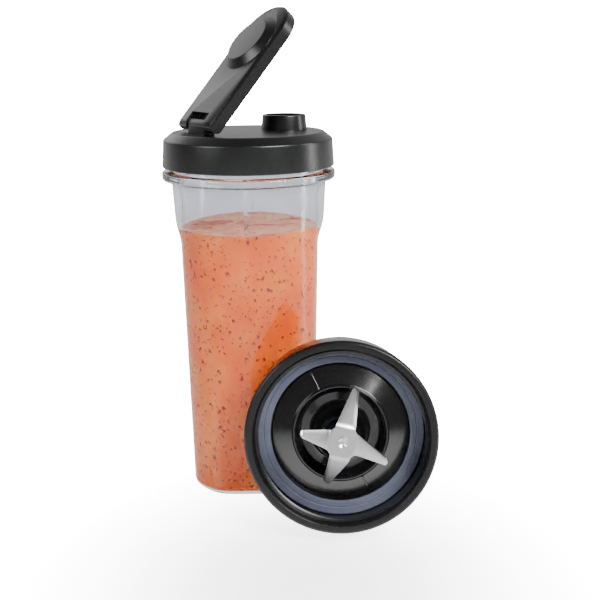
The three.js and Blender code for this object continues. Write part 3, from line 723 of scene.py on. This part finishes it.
def make_blade():
    hub, half = BLADE["hub"], BLADE["half"]
    corners = [(hub, -half), (hub, half), (half, hub), (-half, hub),
               (-hub, half), (-hub, -half), (-half, -hub), (half, -hub)]
    plate = loft([[(x, y, z) for x, y in corners] for z in (0, BLADE["thick"])])
    body = move(plate, Matrix.Rotation(BLADE_TURN, 4, "Z"))
    for i, (bend, length) in enumerate(WINGS):
        body = combine(body, wing(BLADE_TURN + i * pi / 2, radians(bend), length), "UNION")
    body = combine(body, turned_cylinder(BLADE["hole"], -1, 3, Matrix(), 48), "DIFFERENCE")
    body = move(body, Matrix.Translation((0, 0, BLADE_PLANE)))
    unit_piece("four_wing_blade", body, "steel", ["blade_cross"], "blade_rotor")
    shoulder, neck = BLADE_PLANE - 0.3, SHAFT - 0.6
    rivet = lathe(rounded([
        (0, 0.8), (2.6, 0.8), (SHAFT, 1.1), (SHAFT, 4.1), (neck, 4.1), (neck, 5.1), (SHAFT, 5.1),
        (SHAFT, shoulder, 0.2), (2.2, shoulder), (2.2, BLADE_PLANE + 1.5), (2.8, BLADE_PLANE + 1.5),
        (2.7, BLADE_PLANE + 1.8, 0.1), (2.4, BLADE_PLANE + 1.8, 0.2), (0.8, BLADE_PLANE + 0.9, 0.3),
        (0, BLADE_PLANE + 0.8)]), 64)
    unit_piece("shaft_and_rivet", rivet, "steel", ["drive_shaft"], "blade_rotor")


# ---- kept CAD nodes, floor, light and camera ----

def finish_cad_nodes():
    """Gives every CAD node that stays the finish of its slot."""
    slots = {entry["node"]: entry["material_slot"] for entry in frame["record"]["subparts"]}
    for name, node in frame["nodes"].items():
        if not node.material_slots:
            continue
        node.material_slots[0].link = "OBJECT"
        node.material_slots[0].material = FINISH[slots[name]]


def make_floor():
    """A glossy pale table whose glow is dimmed close to the object as a painted shade pool, and brightens
    into the white sweep with distance from it.
    """
    material, nodes, links, principled, place = shader("table_top")
    cloud = noise_node(nodes, links, place, 3)
    tone = ramp(nodes, links, cloud.outputs["Fac"], [(0.3, (0.86, 0.86, 0.865)), (0.7, (0.88, 0.88, 0.885))])
    links.new(tone.outputs["Color"], principled.inputs["Base Color"])
    gloss = spread(nodes, links, cloud.outputs["Fac"], 0.08, 0.14)
    links.new(gloss.outputs["Result"], principled.inputs["Roughness"])
    principled.inputs["Emission Color"].default_value = (1, 1, 1, 1)
    seen = nodes.new("ShaderNodeLightPath")
    far = nodes.new("ShaderNodeVectorMath")
    far.operation = "DISTANCE"
    far.inputs[1].default_value = (0.03, -0.12, 0)  # just in front of the object
    links.new(place.outputs["Object"], far.inputs[0])
    # Painted shade: the glow the camera sees drops to a grey pool close to the object, where its reflection
    # shows.
    level = spread(nodes, links, far.outputs["Value"], NEAR_PAINTED_SHADE, WHITE)
    level.interpolation_type = "SMOOTHERSTEP"
    level.inputs["From Min"].default_value = 0
    level.inputs["From Max"].default_value = 0.26
    glow = nodes.new("ShaderNodeMath")
    glow.operation = "MULTIPLY_ADD"
    links.new(level.outputs["Result"], glow.inputs[0])
    links.new(seen.outputs["Is Camera Ray"], glow.inputs[1])
    glow.inputs[2].default_value = OTHER_RAYS
    links.new(glow.outputs["Value"], principled.inputs["Emission Strength"])
    build = bmesh.new()
    bmesh.ops.create_grid(build, x_segments=8, y_segments=8, size=12)
    floor = piece("table_top", build, Matrix(), None, material)


def area_light(name, place, target, size, power):
    """A soft rectangular light at `place` that faces `target`."""
    data = bpy.data.lights.new(name, "AREA")
    data.shape = "RECTANGLE"
    data.size, data.size_y = size
    data.energy = power
    light = bpy.data.objects.new(name, data)
    light.location = place
    light.rotation_euler = (Vector(target) - Vector(place)).to_track_quat("-Z", "Y").to_euler()
    bpy.context.scene.collection.objects.link(light)


def make_light():
    """A dim room, bright on one side, lights the object; only the camera sees the white sweep behind it."""
    world = bpy.data.worlds.new("studio")
    world.use_nodes = True
    nodes = world.node_tree.nodes
    links = world.node_tree.links
    room = nodes["Background"]
    place = nodes.new("ShaderNodeTexCoord")
    parts = nodes.new("ShaderNodeSeparateXYZ")
    links.new(place.outputs["Generated"], parts.inputs["Vector"])
    walls = ramp(nodes, links, parts.outputs["Y"], [
        (0.05, (0.14, 0.14, 0.145)), (0.3, (0.35, 0.35, 0.355)), (0.7, (0.75, 0.75, 0.75))])
    links.new(walls.outputs["Color"], room.inputs["Color"])
    sweep = nodes.new("ShaderNodeBackground")
    sweep.inputs["Color"].default_value = (1, 1, 1, 1)
    sweep.inputs["Strength"].default_value = WHITE
    seen = nodes.new("ShaderNodeLightPath")
    both = nodes.new("ShaderNodeMixShader")
    links.new(seen.outputs["Is Camera Ray"], both.inputs["Fac"])
    links.new(room.outputs["Background"], both.inputs[1])
    links.new(sweep.outputs["Background"], both.inputs[2])
    links.new(both.outputs["Shader"], nodes["World Output"].inputs["Surface"])
    bpy.context.scene.world = world
    area_light("key", (0.6, -0.7, 0.8), (0, 0, 0.1), (0.5, 0.5), 26)
    area_light("fill", (-0.75, -0.6, 0.6), (0, 0, 0.1), (0.5, 0.5), 8)
    area_light("strip", (0.8, 0.05, 0.3), (0.02, 0, 0.12), (0.12, 0.8), 4)
    area_light("card", (-0.1, -1.3, 0.16), (0.04, -0.08, 0.05), (0.9, 0.25), 0.5)
    area_light("back", (-0.6, 0.75, 0.6), (0, 0, 0.2), (0.7, 0.5), 1.2)


def make_camera():
    data = bpy.data.cameras.new("camera")
    data.lens = 54.3
    data.sensor_width = 36
    data.clip_start = 0.01
    camera = bpy.data.objects.new("camera", data)
    camera.location = (0.02665, -0.48415, 0.23769)
    looking_down, roll = 15.57, -0.55
    pitch = Matrix.Rotation(radians(90 - looking_down), 3, "X")
    camera.rotation_euler = (pitch @ Matrix.Rotation(radians(roll), 3, "Z")).to_euler()
    bpy.context.scene.collection.objects.link(camera)
    bpy.context.scene.camera = camera


for make in (make_cup, make_drink, make_lid, make_cap, make_collar, make_gasket, make_dish, make_blade,
             finish_cad_nodes, make_floor, make_light, make_camera):
    make()
